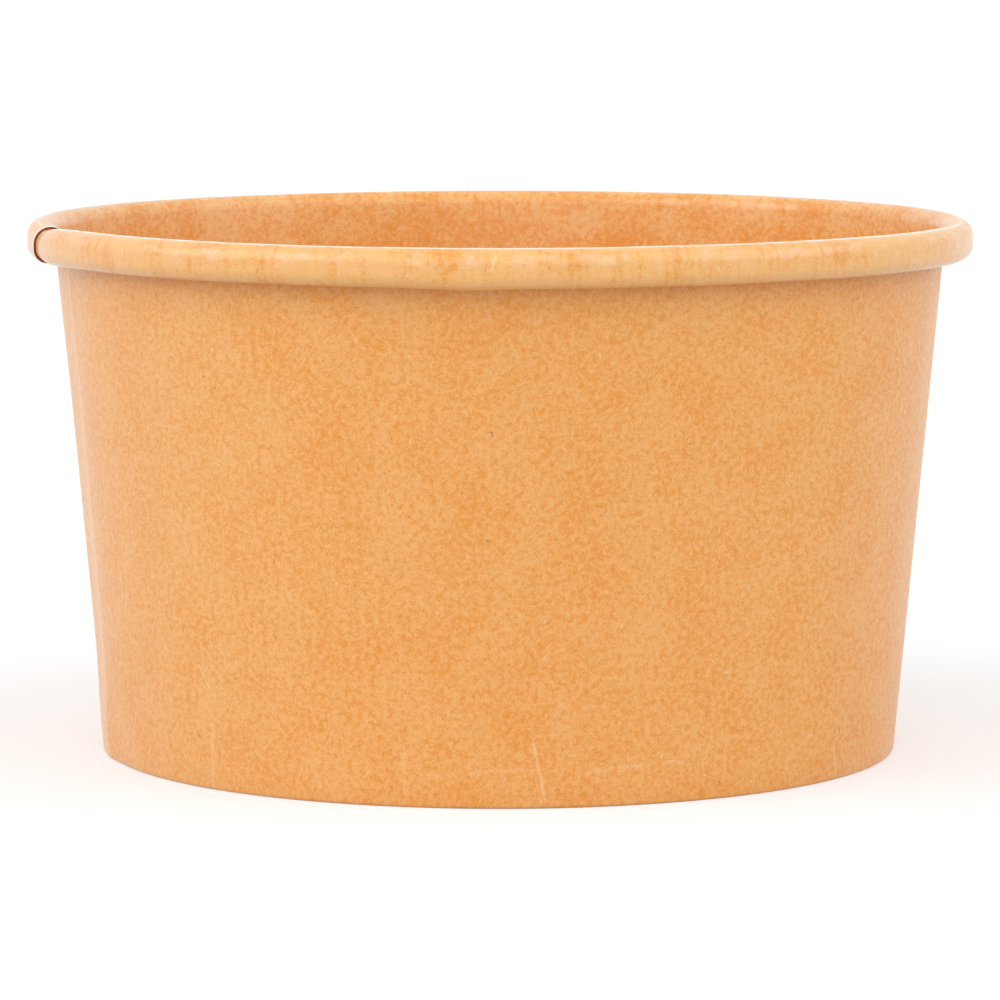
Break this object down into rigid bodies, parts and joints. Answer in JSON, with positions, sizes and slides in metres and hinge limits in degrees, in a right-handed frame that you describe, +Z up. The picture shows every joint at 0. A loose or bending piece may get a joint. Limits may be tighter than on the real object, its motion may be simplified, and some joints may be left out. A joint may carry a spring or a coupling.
{
  "type": "paper ice cream tub",
  "caption": "Round tapered kraft board tub with a rolled rim, a glued lapped side seam and a recessed bottom disc held in the folded foot.",
  "frame": {"origin": "centre of the circle that the foot stands on, at table level", "axes": "+Z up along the tub's axis, from the foot to the rim; -Y faces the viewer of the picture, and the glued seam is at the -X side, turned about fourteen degrees towards the viewer"},
  "size_m": [0.096, 0.096, 0.0542],
  "materials": {
    "wall_board": "matte kraft, slightly satin on the coated food side",
    "disc_board": "matte kraft, slightly satin on the coated food side"
  },
  "bodies": {
    "root": {"side_wall": "wall_board", "bottom_disc": "disc_board"}
  },
  "joints": []
}
